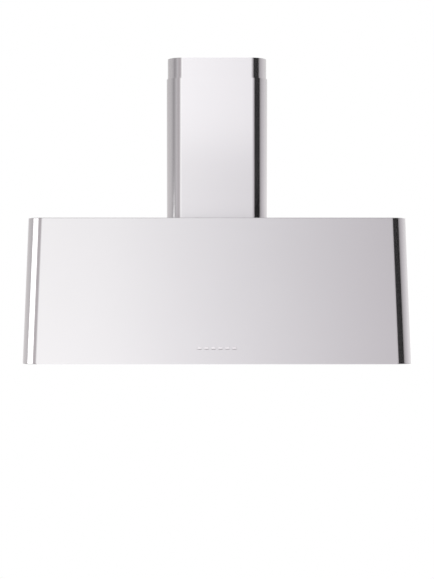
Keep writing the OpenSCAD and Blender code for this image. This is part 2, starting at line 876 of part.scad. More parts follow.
// Two rows of channels, the upper row open side down and over the gaps of the lower row
module filter_baffles(i) {
    room = filter_w - 2 * frame_t;
    count = floor((room - baffle_w) / baffle_pitch) + 1;
    deep = filter_h - 2 * frame_t;
    channel_h = deep * 0.6;
    end = frame_t + baffle_end_gap;
    length = filter_rear - filter_front - 2 * end;
    color("lightgray") translate([filter_x(i), filter_rear - end, recess_h + frame_t])
    rotate([90, 0, 0]) {
        for (k = [0:count - 1]) translate([(k - (count - 1) / 2) * baffle_pitch, 0, 0])
            linear_extrude(length) baffle_section(channel_h);
        for (k = [0:count - 2]) translate([(k - (count - 2) / 2) * baffle_pitch, deep, 0])
            linear_extrude(length) mirror([0, 1]) baffle_section(channel_h);
    }
}

// Strap handle on the frame's front lip
module filter_handle(i) {
    half = handle_w / 2;
    foot = 9;
    strap_t = 1.5;
    slope = 5;
    set_back = 1.5;
    depth_y = lip_w - 2 * set_back;
    color("silver") translate([filter_x(i), filter_front + set_back + depth_y, recess_h])
    rotate([90, 0, 0]) linear_extrude(depth_y) polygon([
        [-half, 0], [-half, -strap_t], [foot - half - strap_t, -strap_t],
        [foot + slope - half - strap_t, -handle_h], [half - foot - slope + strap_t, -handle_h],
        [half - foot + strap_t, -strap_t], [half, -strap_t], [half, 0], [half - foot, 0],
        [half - foot - slope, strap_t - handle_h], [foot + slope - half, strap_t - handle_h],
        [foot - half, 0]]);
}

// Leaf springs on the panel whose noses snap into the filter frames' front slots
module filter_catches() {
    base_l = lamp_strip / 2 - lamp_hole_r - past;
    nose_z = panel_top + catch_slot_low + catch_slot_h / 2 - sheet_t;
    nose_y = filter_front + 2.4;
    color("lightgray") for (i = [0:filter_count - 1])
        across(filter_x(i) - catch_w / 2, filter_x(i) + catch_w / 2) polygon([
            [open_front - base_l, panel_top], [open_front - base_l, panel_top + catch_t],
            [open_front - 5, panel_top + catch_t], [open_front - 3, nose_z - 3.5],
            [nose_y - 1, nose_z], [open_front - 3, nose_z + 6], [open_front - 2.4, nose_z + 6.4],
            [nose_y, nose_z], [open_front - 2.2, nose_z - 3.5], [open_front - 4.6, panel_top]]);
}

// Plan of the chimney at a distance inset inside the lower chimney's outer face
module chimney_outline(inset) {
    half = chimney_w / 2;
    side_y = chimney_r - chimney_d;
    union() {
        translate([inset - half, side_y]) square([chimney_w - 2 * inset, -side_y - inset]);
        translate([chimney_r - half, inset - chimney_d])
            square([chimney_w - 2 * chimney_r, chimney_r - inset + past]);
        for (side = [-1, 1]) translate([side * (half - chimney_r), side_y])
            circle(chimney_r - inset, $fn = round_fn);
    }
}

module chimney_section(inset) {
    gap = chimney_w / 2 - inset - flange_w;
    difference() {
        chimney_outline(inset);
        chimney_outline(inset + sheet_t);
        translate([-gap, -inset - 2 * sheet_t]) square([2 * gap, 3 * sheet_t]);
    }
}

// A screw through a chimney's side wall, with its head outside at wall_x
module side_screws(wall_x, y, z, length) {
    color("gray") both_sides() translate([wall_x, y, z]) rotate([0, -90, 0]) {
        cylinder(r = screw_r, h = length, $fn = small_fn);
        translate([0, 0, -screw_head_t]) cylinder(r = screw_head_r, h = screw_head_t, $fn = small_fn);
    }
}

module side_screw_holes(y, z) {
    translate([-chimney_w, y, z]) rotate([0, 90, 0])
        cylinder(r = screw_r + weld_gap, h = 2 * chimney_w, $fn = small_fn);
}

module chimney_lower() {
    color("silver") difference() {
        translate([0, 0, canopy_h]) linear_extrude(lower_h) chimney_section(0);
        side_screw_holes(chimney_mid_y, chimney_screw_z);
    }
}

module chimney_upper() {
    slot_count = 6;
    slot_l = 80;
    slot_h = 4;
    slot_pitch = 9;
    bottom = chimney_top - upper_h;
    color("silver") difference() {
        translate([0, 0, bottom]) linear_extrude(upper_h) chimney_section(upper_inset);
        side_screw_holes(bracket_screw_y, bracket_z + bracket_h / 2);
        for (k = [1:slot_count])
            block([-chimney_w, chimney_mid_y - slot_l / 2, bottom + k * slot_pitch],
                [chimney_w, chimney_mid_y + slot_l / 2, bottom + k * slot_pitch + slot_h]);
    }
}

module chimney_foot_brackets() {
    wall_x = chimney_w / 2 - sheet_t - weld_gap;
    y0 = chimney_mid_y - foot_l / 2;
    color("gray") difference() {
        both_sides() union() {
            block([wall_x - foot_t, y0, canopy_h], [wall_x, y0 + foot_l, canopy_h + foot_h]);
            block([wall_x - foot_w, y0, canopy_h], [wall_x, y0 + foot_l, canopy_h + foot_t]);
        }
        side_screw_holes(chimney_mid_y, chimney_screw_z);
    }
}

module assembly_screws() {
    side_screws(chimney_w / 2, chimney_mid_y, chimney_screw_z, sheet_t + weld_gap + foot_t);
    color("gray") at_collar_screws() {
        cylinder(r = screw_head_r, h = screw_head_t, $fn = small_fn);
        translate([0, 0, -collar_screw_l]) cylinder(r = screw_r, h = collar_screw_l, $fn = small_fn);
    }
}

// Felt pads inside the lower chimney's top edge that steady the upper chimney
module chimney_guide_pads() {
    pad_l = 36;
    pad_h = 14;
    pad_t = chimney_gap - tab_gap;
    top = canopy_h + lower_h - 4;
    front = sheet_t - chimney_d;
    wall_x = chimney_w / 2 - sheet_t;
    front_pad_x = 50;
    color("dimgray") both_sides() {
        block([front_pad_x, front, top - pad_h], [front_pad_x + pad_l, front + pad_t, top]);
        for (y = [chimney_r - chimney_d, chimney_mid_y])
            block([wall_x - pad_t, y, top - pad_h], [wall_x, y + pad_l, top]);
    }
}

// Y of the screws that join the upper chimney to its wall bracket
bracket_screw_y = -bracket_reach - ear_l / 2;

module chimney_wall_bracket() {
    flange_clear = 4;
    inner = upper_inner_x - flange_w - flange_clear;
    outer = upper_inner_x - weld_gap;
    t = bracket_t;
    color("gray") translate([0, 0, bracket_z]) difference() {
        linear_extrude(bracket_h) {
            translate([-inner, -t]) square([2 * inner, t]);
            for (side = [-1, 1]) mirror([side < 0 ? 1 : 0, 0]) {
                translate([inner - t, -bracket_reach]) square([t, bracket_reach]);
                translate([inner - t, -bracket_reach]) square([outer - inner + t, t]);
                translate([outer - t, -bracket_reach - ear_l]) square([t, ear_l + t]);
            }
        }
        for (side = [-1, 1])
            translate([side * bracket_hole_spacing / 2, past, bracket_h / 2]) rotate([90, 0, 0])
            cylinder(r = wall_hole_d / 2, h = t + 2 * past, $fn = small_fn);
        translate([0, 0, -bracket_z]) side_screw_holes(bracket_screw_y, bracket_z + bracket_h / 2);
    }
}

module bracket_screws() {
    side_screws(chimney_w / 2 - upper_inset, bracket_screw_y,
        bracket_z + bracket_h / 2, sheet_t + weld_gap + bracket_t);
}

function unit(v) = v / norm(v);

// The route with each inner corner cut back by reach and bent in two steps
function bent(route, reach) = [
    route[0],
    for (i = [1:len(route) - 2])
        let (back = unit(route[i - 1] - route[i]), on = unit(route[i + 1] - route[i]))
        each [route[i] + reach * back, route[i] + reach / 4 * (back + on), route[i] + reach * on],
    route[len(route) - 1]];

// Part of v that is square to the unit direction d, at unit length
function squared(v, d) = unit(v - (v * d) * d);

// A round lead along a route of straight runs, as one closed skin
module lead(route, r) {
    sides = 8;
    path = bent(route, 3.5 * r);
    last = len(path) - 1;
    dirs = [for (i = [0:last]) unit(path[min(i + 1, last)] - path[max(i - 1, 0)])];
    first = squared(abs(dirs[0].x) < 0.5 ? [1, 0, 0] : [0, 1, 0], dirs[0]);
    across_dirs = [for (i = 0, a = first; i <= last; i = i + 1, a = squared(a, dirs[min(i, last)])) a];
    points = [for (i = [0:last], k = [0:sides - 1])
        let (a = across_dirs[i], b = cross(dirs[i], a), turn = 360 * k / sides)
        path[i] + r * (cos(turn) * a + sin(turn) * b)];
    walls = [for (i = [0:last - 1], k = [0:sides - 1])
        let (n = (k + 1) % sides, low = i * sides, high = low + sides)
        each [[low + k, high + n, low + n], [low + k, high + k, high + n]]];
    caps = [for (k = [1:sides - 2])
        each [[0, k, k + 1], [last * sides, last * sides + k + 1, last * sides + k]]];
    polyhedron(points, concat(walls, caps));
}

// Leads from both lamps along the underside and the back panel to the transformer
module lamp_cables() {
    lamp_x = lamp_spacing / 2;
    can_top = recess_h + lamp_can_h;
    loop_top = can_top + 18;
    down_x = lamp_x + 90;
    plug_z = (transformer_low.z + transformer_high.z) / 2;
    low_lane_z = safety_z - 30;
    turn_x = 38;
    start = [[lamp_x, lamp_y, can_top], [lamp_x, lamp_y, loop_top], [down_x, lamp_y, loop_top],
        [down_x, lamp_y, lead_floor], [lane_x, lamp_y, lead_floor], [lane_x, lead_back, lead_floor]];
    mirrored = [for (p = start) [-p.x, p.y, p.z]];
    color("white") {
        lead(concat(start, [
            [lane_x, lead_back, plug_z], [transformer_high.x + turn_x, lead_back, plug_z],
            [transformer_high.x + turn_x, plug_y, plug_z], [transformer_high.x, plug_y, plug_z]]), lead_r);
        lead(concat(mirrored, [
            [-lane_x, lead_back, low_lane_z], [transformer_low.x - turn_x, lead_back, low_lane_z],
            [transformer_low.x - turn_x, lead_back, plug_z],
            [transformer_low.x - turn_x, plug_y, plug_z], [transformer_low.x, plug_y, plug_z]]), lead_r);
    }
}

// Leads from the control box to the switches, motor, gland, transformer and capacitor
module control_cables() {
    step_out = 25;
    switch_depth = plate_back + block_l / 2;
    switch_y = button_z * tan(lean_back) + switch_depth * cos(lean_back) - hood_d;
    switch_z = button_z - switch_depth * sin(lean_back);
    switch_lane_x = lane_x + 10;
    switch_lane_y = rim_w + 5 - hood_d;
    switch_box_y = -30;
    switch_box_z = box_low.z + 55;
    motor_lead_x = motor_left - 18;
    motor_lead_z = fan_z + motor_r - 10;
    box_x = (box_low.x + box_high.x) / 2;
    transformer_x = (transformer_low.x + transformer_high.x) / 2;
    over_transformer = transformer_high.z + 40;
    before_transformer = transformer_low.x - 100;
    lamp_feed_z = box_low.z + 35;
    capacitor_end = capacitor_stud_l - capacitor_x;
    capacitor_turn = capacitor_end + 18;
    under_box = box_low.z - 55;
    gland_end = canopy_h - gland_thread_l;
    gland_turn = gland_end - 31;
    supply_turn = box_high.x + 35;
    supply_z = box_high.z - 30;
    color("white") {
        lead([
            [-block_w / 2, switch_y, switch_z], [-block_w / 2 - step_out, switch_y, switch_z],
            [-block_w / 2 - 2 * step_out, switch_lane_y, lead_floor],
            [-switch_lane_x, switch_lane_y, lead_floor],
            [-switch_lane_x, 2 * lead_back, lead_floor], [-switch_lane_x, 2 * lead_back, switch_box_z],
            [box_low.x - step_out, 2 * lead_back, switch_box_z],
            [box_low.x - step_out, switch_box_y, switch_box_z],
            [box_low.x, switch_box_y, switch_box_z]], lead_r);
        lead([
            [motor_left, fan_y, motor_lead_z], [motor_lead_x, fan_y, motor_lead_z],
            [motor_lead_x, fan_y, lead_ceiling], [box_x, plug_y, lead_ceiling],
            [box_x, plug_y, box_high.z]], lead_r);
        lead([
            [gland_x, gland_y, gland_end], [gland_x, gland_y, gland_turn],
            [gland_x, plug_y, gland_turn], [supply_turn, plug_y, gland_turn],
            [supply_turn, plug_y, supply_z], [box_high.x, plug_y, supply_z]], supply_r);
        lead([
            [box_high.x, plug_y, lamp_feed_z], [before_transformer, plug_y, lamp_feed_z],
            [before_transformer, plug_y, over_transformer], [transformer_x, plug_y, over_transformer],
            [transformer_x, plug_y, transformer_high.z]], lead_r);
        lead([
            [capacitor_end, capacitor_y, capacitor_z], [capacitor_turn, capacitor_y, capacitor_z],
            [capacitor_turn, capacitor_y, under_box], [box_x, capacitor_y, under_box],
            [box_x, capacitor_y, box_low.z]], lead_r);
    }
}

module wiring() {
    lamp_cables();
    control_cables();
}

canopy_wrap();
top_panel();
back_panel();
underside_panel();
wall_hooks();
levelling_screws();
blower_scroll();
mirror([1, 0, 0]) blower_side();  // blower_side_left
blower_side();  // blower_side_right
inlet_rings();
motor_bracket();
motor_shell();
motor_stator();
motor_bearings();
capacitor();
fan_wheel();
motor_shaft();
motor_rotor();
duct_collar();
damper_pin();
damper_flap(-1);  // damper_flap_front
damper_flap(1);  // damper_flap_rear
control_box();
control_box_lid();
terminal_block();
lamp_transformer();
cable_gland();
switch_bracket();
switch_housing();
switch_board();
button_springs();
button(1);  // button_1
button(2);  // button_2
button(3);  // button_3
button(4);  // button_4
button(5);  // button_5
button(6);  // button_6
lamp_bezels();
lamp_lenses();
lamp_housings();
lamp_leds();
lamp_clips();
filter_frame(0);  // filter_left_frame
filter_baffles(0);  // filter_left_baffles
filter_handle(0);  // filter_left_handle
filter_frame(1);  // filter_centre_frame
filter_baffles(1);  // filter_centre_baffles
filter_handle(1);  // filter_centre_handle
filter_frame(2);  // filter_right_frame
filter_baffles(2);  // filter_right_baffles
filter_handle(2);  // filter_right_handle
filter_catches();
chimney_lower();
chimney_foot_brackets();
chimney_guide_pads();
chimney_upper();
chimney_wall_bracket();
bracket_screws();
assembly_screws();
wiring();
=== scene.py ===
import json
import math

import bmesh
import bpy
from mathutils import Matrix, Vector


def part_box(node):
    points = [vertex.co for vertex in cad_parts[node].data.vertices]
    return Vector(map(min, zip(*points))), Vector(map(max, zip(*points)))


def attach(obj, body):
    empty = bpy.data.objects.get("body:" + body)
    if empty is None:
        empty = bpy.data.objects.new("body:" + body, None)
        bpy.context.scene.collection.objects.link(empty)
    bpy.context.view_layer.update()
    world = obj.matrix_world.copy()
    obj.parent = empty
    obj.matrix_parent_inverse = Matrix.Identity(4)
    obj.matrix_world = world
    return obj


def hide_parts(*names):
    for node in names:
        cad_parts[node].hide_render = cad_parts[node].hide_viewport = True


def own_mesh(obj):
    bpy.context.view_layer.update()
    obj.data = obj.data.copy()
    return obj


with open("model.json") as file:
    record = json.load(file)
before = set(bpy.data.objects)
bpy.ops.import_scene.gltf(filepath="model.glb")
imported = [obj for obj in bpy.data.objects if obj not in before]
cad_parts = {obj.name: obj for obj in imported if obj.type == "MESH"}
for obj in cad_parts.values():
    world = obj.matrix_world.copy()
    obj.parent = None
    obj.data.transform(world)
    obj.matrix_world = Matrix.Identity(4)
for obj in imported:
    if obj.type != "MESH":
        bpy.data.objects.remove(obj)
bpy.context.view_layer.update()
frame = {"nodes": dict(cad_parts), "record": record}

NODES = frame["nodes"]
MM = 0.001
# Points this close are at the same place
TOUCH = 1e-7

# Sizes of the bent sheets, which follow the CAD nodes that they stand for
SHEET = 1.0 * MM
CORNER_R = 50 * MM
FOLD_R = 2.2 * MM
RIM_W = 15 * MM
FLANGE_W = 15 * MM
CORNER_STEPS = 28
HOOD_LEAN = math.atan2(16.5, 448)
TOP_FOLD_R = 2 * MM
TOP_FOLD_DEG = 60
TOP_FOLD_STEPS = 6
BUTTON_GAP = 0.15 * MM
BUTTON_ROUND = 0.3 * MM
BUTTON_LIP = 2.2 * MM
BUTTON_CROWN = 0.3 * MM
BUTTON_STRIPS = 8
# Half width, half height and distance in front of the sheet in mm, from the stem's end to the cap's face
BUTTON_SECTIONS = [(2.5, 2.5, -24.0), (2.5, 2.5, -3.2), (7.8, 5.7, -3.2),
                   (7.8, 5.7, -1.4), (6.3, 4.2, -1.4), (6.3, 4.2, 2.6)]
BUTTON_HALF_W = BUTTON_SECTIONS[-1][0] * MM
BUTTON_HALF_H = BUTTON_SECTIONS[-1][1] * MM
BUTTON_Z = 48.6 * MM
SPRING_R = 4.1 * MM
SPRING_WIRE_R = 0.33 * MM
SPRING_L = 4.8 * MM
SPRING_BACK = 8.0 * MM
SPRING_TURNS = 3
SPRING_TURN_STEPS = 28
SCREW_R = 2 * MM
SCREW_HEAD_R = 3.8 * MM
SCREW_HEAD_T = 1.8 * MM
SCREW_RECESS = 1.2 * MM
# The head is a grid of cells, and its cross recess takes these, counted from the middle
SCREW_CELLS = 9
SCREW_CROSS = ([0, 0], [0, 1], [0, 2])
SPIN_STEPS = 96
LAMP_Z = 24 * MM
LAMP_FINS = [14, 19, 24, 29]


def linear(code):
    """An sRGB hex colour as the linear colour that a socket takes."""
    parts = [int(code[i:i + 2], 16) / 255 for i in (1, 3, 5)]
    return [*(c / 12.92 if c <= 0.04045 else ((c + 0.055) / 1.055) ** 2.4 for c in parts), 1.0]


def add(tree, kind, values=None, links=None, **settings):
    """Add a node with its settings, the values of its sockets and the links into them."""
    made = tree.nodes.new(kind)
    for name, value in settings.items():
        setattr(made, name, value)
    for socket, value in (values or {}).items():
        made.inputs[socket].default_value = value
    for socket, source in (links or {}).items():
        tree.links.new(source, made.inputs[socket])
    return made


def ramp(tree, source, stops):
    """Colours from hex stops placed along a value from 0 to 1."""
    made = add(tree, "ShaderNodeValToRGB", links={"Fac": source})
    points = made.color_ramp.elements
    while len(points) < len(stops):
        points.new(0.5)
    for point, (place, code) in zip(points, stops):
        point.position = place
        point.color = linear(code)
    return made.outputs["Color"]


def spread(tree, source, low, high):
    """A value from 0 to 1 stretched between low and high."""
    made = add(tree, "ShaderNodeMapRange", {"To Min": low, "To Max": high}, {"Value": source})
    return made.outputs["Result"]


def noise(tree, size_mm, detail=3.0, roughness=0.55):
    """Noise whose features measure size_mm, one number or one for each of X, Y and Z."""
    sizes = size_mm if isinstance(size_mm, tuple) else (size_mm,) * 3
    place = add(tree, "ShaderNodeTexCoord").outputs["Object"]
    scaled = add(tree, "ShaderNodeMapping", {"Scale": [1 / (s * MM) for s in sizes]}, {"Vector": place})
    return add(tree, "ShaderNodeTexNoise", {"Scale": 1.0, "Detail": detail, "Roughness": roughness},
               {"Vector": scaled.outputs["Vector"]}).outputs["Fac"]


def cells(tree, size_mm, output="Color"):
    """Irregular cells of that size, each with its own value."""
    place = add(tree, "ShaderNodeTexCoord").outputs["Object"]
    scaled = add(tree, "ShaderNodeMapping", {"Scale": [1 / (size_mm * MM)] * 3}, {"Vector": place})
    made = add(tree, "ShaderNodeTexVoronoi", {"Scale": 1.0}, {"Vector": scaled.outputs["Vector"]})
    return made.outputs[output]


def bump(tree, height, depth_mm, strength=1.0):
    """Fine relief of that depth, as a normal."""
    return add(tree, "ShaderNodeBump", {"Strength": strength, "Distance": depth_mm * MM},
               {"Height": height}).outputs["Normal"]


def material(name, values, build):
    """A Principled material whose build function gives the links of its patterned sockets."""
    made = bpy.data.materials.new(name)
    made.use_nodes = True
    tree = made.node_tree
    tree.nodes.clear()
    shader = add(tree, "ShaderNodeBsdfPrincipled", values, build(tree))
    add(tree, "ShaderNodeOutputMaterial", links={"Surface": shader.outputs["BSDF"]})
    return made


def brushed_steel(name, dark, light, roughness, grain, across, anisotropy, wave=0.0):
    """Brushed stainless sheet: fine scratches lie along the grain, so lights smear across it.

    grain gives the scratches' size along X, Y and Z in mm and across the direction they smear in.
    """
    def build(tree):
        fine = noise(tree, grain, 4.0)
        soft = noise(tree, 240.0, 2.0)
        mixed = add(tree, "ShaderNodeMath", {1: 0.35}, {0: soft, 2: fine}, operation="MULTIPLY_ADD")
        share = spread(tree, mixed.outputs["Value"], -0.1, 0.9)
        direction = add(tree, "ShaderNodeCombineXYZ", dict(zip("XYZ", across)))
        heights = fine
        if wave:
            drift = noise(tree, (420.0, 420.0, 160.0), 1.0)
            heights = add(tree, "ShaderNodeMath", {1: wave}, {0: drift, 2: fine}, operation="MULTIPLY_ADD")
            heights = heights.outputs["Value"]
        return {
            "Base Color": ramp(tree, share, [(0.0, dark), (1.0, light)]),
            "Roughness": spread(tree, fine, roughness - 0.02, roughness + 0.03),
            "Normal": bump(tree, heights, 0.004, 0.4),
            "Tangent": direction.outputs["Vector"]}

    return material(name, {"Metallic": 1.0, "Anisotropic": anisotropy}, build)


def plain_metal(name, dark, light, roughness, size_mm, depth_mm, swing=0.05):
    """Metal whose colour and gloss vary over patches of one size."""
    def build(tree):
        pattern = noise(tree, size_mm, 4.0)
        return {
            "Base Color": ramp(tree, pattern, [(0.3, dark), (0.7, light)]),
            "Roughness": spread(tree, pattern, roughness - swing, roughness + swing),
            "Normal": bump(tree, pattern, depth_mm, 0.5)}

    return material(name, {"Metallic": 1.0}, build)


def galvanised_steel():
    """Hot-dip galvanised sheet: flat crystals of zinc, each with its own grey and gloss."""
    def build(tree):
        crystal = add(tree, "ShaderNodeRGBToBW", links={"Color": cells(tree, 7.0)}).outputs["Val"]
        frost = noise(tree, 1.5, 3.0)
        mixed = add(tree, "ShaderNodeMath", {1: 0.3}, {0: frost, 2: crystal}, operation="MULTIPLY_ADD")
        return {
            "Base Color": ramp(tree, mixed.outputs["Value"], [(0.2, "#aeb2b5"), (0.9, "#bfc3c5")]),
            "Roughness": spread(tree, crystal, 0.38, 0.5),
            "Normal": bump(tree, frost, 0.01, 0.4)}

    return material("galvanised_steel", {"Metallic": 1.0}, build)


def moulded(name, dark, light, roughness, grit_mm, depth_mm):
    """Injection-moulded plastic: a fine even texture from the mould and a soft gloss."""
    def build(tree):
        grit = noise(tree, grit_mm, 2.0)
        cloud = noise(tree, 40.0, 2.0)
        return {
            "Base Color": ramp(tree, cloud, [(0.3, dark), (0.7, light)]),
            "Roughness": spread(tree, grit, roughness - 0.06, roughness + 0.06),
            "Normal": bump(tree, grit, depth_mm, 0.6)}

    return material(name, {"IOR": 1.49}, build)


def laminated_core():
    """Stacked electrical steel: thin dark lines between the sheets, square to the axle."""
    def build(tree):
        place = add(tree, "ShaderNodeTexCoord").outputs["Object"]
        along = add(tree, "ShaderNodeMapping", {"Scale": [1 / (3.2 * MM), 0, 0]}, {"Vector": place})
        # Real sheets are 0.5 mm thick and are drawn at 1 mm, so that the lines show
        lines = add(tree, "ShaderNodeTexWave", {"Scale": 1.0, "Distortion": 0.0},
                    {"Vector": along.outputs["Vector"]},
                    wave_type="BANDS", bands_direction="X").outputs["Fac"]
        return {
            "Base Color": ramp(tree, lines, [(0.2, "#3c3b3b"), (0.6, "#7c7a78")]),
            "Roughness": spread(tree, noise(tree, 2.0), 0.35, 0.55),
            "Normal": bump(tree, lines, 0.1, 0.5)}

    return material("electrical_steel_laminations", {"Metallic": 1.0}, build)


def circuit_board():
    """Glass-epoxy board with green solder mask over a pattern of copper tracks."""
    def build(tree):
        spots = cells(tree, 2.4, "Distance")
        tracks = add(tree, "ShaderNodeMath", {1: 0.5}, {0: spots}, operation="GREATER_THAN")
        weave = noise(tree, 0.4)
        return {
            "Base Color": ramp(tree, tracks.outputs["Value"], [(0.0, "#1d5a34"), (1.0, "#2f7a46")]),
            "Roughness": spread(tree, weave, 0.25, 0.4),
            "Normal": bump(tree, tracks.outputs["Value"], 0.05, 0.4)}

    return material("solder_mask_on_glass_epoxy", {"IOR": 1.5}, build)


def frosted_glass():
    """Sand-blasted soda-lime glass: the lamp behind it shows only as a soft glow of its shape."""
    def build(tree):
        sand = noise(tree, 0.5, 2.0)
        return {
            "Base Color": ramp(tree, noise(tree, 20.0), [(0.3, "#eef0ee"), (0.7, "#f8f9f7")]),
            "Roughness": spread(tree, sand, 0.38, 0.5),
            "Normal": bump(tree, sand, 0.02, 0.3)}

    return material("sand_blasted_glass", {"IOR": 1.52, "Transmission Weight": 0.72}, build)


def wool_felt():
    """Pressed wool felt: short crossing fibres and a soft sheen."""
    def build(tree):
        fibres = noise(tree, (0.4, 2.5, 0.4), 4.0)
        return {
            "Base Color": ramp(tree, fibres, [(0.3, "#4a4a4c"), (0.7, "#6c6c6e")]),
            "Roughness": spread(tree, fibres, 0.85, 1.0),
            "Normal": bump(tree, fibres, 0.3, 0.8)}

    return material("pressed_wool_felt", {"Sheen Weight": 0.4, "Sheen Roughness": 0.5}, build)


# The scratches of brushed 304 stainless are about 0.1 mm wide and are drawn wider, so that they show
UPRIGHT = (0.0, 0.04, 1.0)
LEVEL = (0.0, 1.0, 0.04)
MATERIALS = {
    "canopy_steel": brushed_steel(
        "brushed_304_stainless_canopy", "#cbcacb", "#d0cfd0", 0.18, (220.0, 220.0, 0.9), UPRIGHT, 0.9),
    "chimney_steel": brushed_steel(
        "brushed_304_stainless_chimney", "#cbcacb", "#d0cfd0", 0.18, (220.0, 220.0, 0.9), UPRIGHT, 0.9),
    "underside_steel": brushed_steel(
        "brushed_304_stainless_underside", "#c6c5c4", "#d2d1d0", 0.27, (220.0, 0.9, 220.0), LEVEL, 0.6),
    # Polished 430 stainless, rolled bright and drawn along the baffles
    "filter_steel": brushed_steel(
        "rolled_430_stainless", "#c3c2c0", "#d5d4d2", 0.25, (0.8, 160.0, 160.0), (1.0, 0.04, 0.04), 0.4),
    "handle_steel": plain_metal("polished_304_stainless", "#cfcdcb", "#dcdad8", 0.16, 3.0, 0.004),
    "galvanised_steel": galvanised_steel(),
    # Zinc plate with a clear passivation that is faintly blue
    "zinc_plated_steel": plain_metal("zinc_plated_steel", "#b6bac0", "#ccd0d4", 0.3, 1.5, 0.01),
    # Hard-rolled spring strip, bright with a slight straw tint from tempering
    "spring_steel": plain_metal("tempered_spring_steel", "#a9a49b", "#c2beb6", 0.28, 2.5, 0.005),
    # Ground steel, nearly a mirror
    "bearing_steel": plain_metal("ground_bearing_steel", "#c0c1c3", "#d4d5d7", 0.15, 1.2, 0.003),
    # Die-cast aluminium with a sandy skin
    "motor_aluminium": plain_metal("die_cast_aluminium", "#9fa1a3", "#b9bbbd", 0.5, 0.9, 0.06),
    "lamp_aluminium": plain_metal("cast_lamp_aluminium", "#b4b5b7", "#cbccce", 0.42, 0.9, 0.04),
    "motor_core_steel": laminated_core(),
    # Satin nickel-plated zinc buttons
    "button_metal": plain_metal("satin_nickel_plate", "#d8d6d7", "#dedcdd", 0.2, 0.7, 0.003, 0.02),
    # Bright chrome plate over zinc, a mirror with faint polishing haze
    "bezel_chrome": plain_metal("bright_chrome_plate", "#dcdddf", "#e6e7e9", 0.07, 6.0, 0.001, 0.02),
    # Glass-filled polypropylene, black with a fine spark texture
    "blower_plastic": moulded("black_polypropylene", "#1b1c1e", "#232426", 0.48, 0.8, 0.05),
    # Light grey ABS with a fine matt texture
    "box_plastic": moulded("light_grey_abs", "#c3c3be", "#cecec9", 0.45, 0.7, 0.04),
    # Nitrile rubber, black and matt
    "gland_rubber": moulded("nitrile_rubber", "#1e1e1e", "#282828", 0.75, 0.5, 0.03),
    # Extruded PVC sheath, smooth with a soft gloss
    "cable_pvc": moulded("pvc_sheath", "#d8d7d1", "#e2e1dc", 0.35, 3.0, 0.01),
    # Warm white phosphor under silicone
    "led_phosphor": moulded("yellow_phosphor_silicone", "#e8cd6a", "#f0d982", 0.4, 0.5, 0.02),
    "circuit_board": circuit_board(),
    "lamp_glass": frosted_glass(),
    "guide_felt": wool_felt(),
}
SLOT_OF = {part["node"]: part["material_slot"] for part in frame["record"]["subparts"]}
BODY_OF = {node: body for body, nodes in frame["record"]["behaviour"]["bodies"].items() for node in nodes}
for node, slot in SLOT_OF.items():
    NODES[node].data.materials.clear()
    NODES[node].data.materials.append(MATERIALS[slot])


def verts_of(geom):
    return [g for g in geom if isinstance(g, bmesh.types.BMVert)]


def edges_of(geom):
    return [g for g in geom if isinstance(g, bmesh.types.BMEdge)]


def outermost(mesh):
    """The face that lies furthest along Z."""
    return max(mesh.faces, key=lambda f: f.calc_center_median().z)


def piece(name, mesh, nodes, smooth_deg=35.0):
    """Finish a bmesh as a piece that rides with, and stands for, the CAD nodes it replaces."""
    data = bpy.data.meshes.new(name)
    mesh.to_mesh(data)
    mesh.free()
    data.polygons.foreach_set("use_smooth", [True] * len(data.polygons))
    data.set_sharp_from_angle(angle=math.radians(smooth_deg))
    made = bpy.data.objects.new(name, data)
    bpy.context.scene.collection.objects.link(made)
    data.materials.append(MATERIALS[SLOT_OF[nodes[0]]])
    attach(made, BODY_OF[nodes[0]])
    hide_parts(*nodes)
    return made


def even_normals(made):
    """Let the large flat faces set the shading, so that only the bends look bent."""
    modifier = made.modifiers.new("even_normals", "WEIGHTED_NORMAL")
    modifier.mode = "FACE_AREA"
    modifier.keep_sharp = True


def rounded(made, width_mm, smooth_deg=35.0, steps=2):
    """Round a piece's sharp edges, as folding, casting or moulding leaves them."""
    modifier = made.modifiers.new("rounded_edges", "BEVEL")
    modifier.width = width_mm * MM
    modifier.segments = steps
    modifier.limit_method = "ANGLE"
    modifier.angle_limit = math.radians(smooth_deg)
    modifier.use_clamp_overlap = True
    even_normals(made)


def edged(node, width_mm, smooth_deg=35.0, steps=2):
    """A CAD node's own shape with its sharp edges rounded."""
    mesh = bmesh.new()
    mesh.from_mesh(NODES[node].data)
    bmesh.ops.remove_doubles(mesh, verts=mesh.verts, dist=2e-6)
    bmesh.ops.dissolve_limit(mesh, angle_limit=math.radians(0.3), verts=mesh.verts, edges=mesh.edges)
    rounded(piece(node + "_finished", mesh, [node], smooth_deg), width_mm, smooth_deg, steps)


def on_front(middle):
    """From a button's own axes to its place on the leaning front: Z points out of the sheet."""
    place = Matrix.Translation((middle, BUTTON_Z * math.tan(HOOD_LEAN) - hood_d, BUTTON_Z))
    return place @ Matrix.Rotation(math.pi / 2 - HOOD_LEAN, 4, "X")


